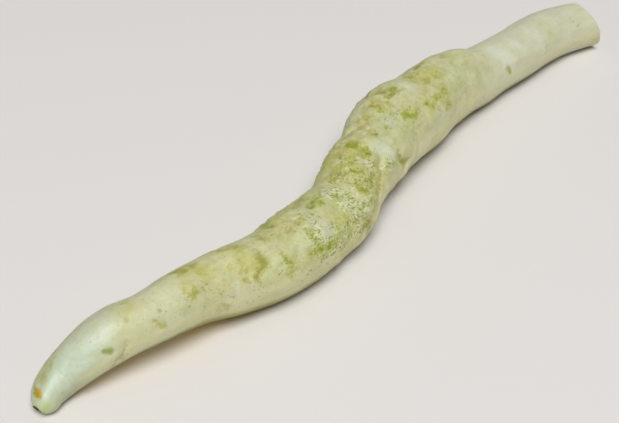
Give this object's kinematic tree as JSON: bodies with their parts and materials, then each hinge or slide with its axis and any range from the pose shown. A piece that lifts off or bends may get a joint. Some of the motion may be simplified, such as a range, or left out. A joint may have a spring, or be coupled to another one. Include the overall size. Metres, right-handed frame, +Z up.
{
  "type": "snake gourd",
  "caption": "Long slender snake gourd, pale green with waxy mottled skin, gently snaking, with a tapered blossom tip and a knife-cut stem end showing pale pith.",
  "frame": {"origin": "middle of the bounding box's footprint, on the surface that the fruit lies on", "axes": "+X along the fruit from the blossom tip to the cut stem end, +Z up"},
  "size_m": [0.546, 0.079, 0.0554],
  "materials": {
    "gourd_skin": "pale green waxy skin with white bloom, yellow-green mottling and fine green speckles; the cut stem end shows a bright green rim round white-green pith"
  },
  "bodies": {
    "root": {"snake_gourd": "gourd_skin"}
  },
  "joints": []
}
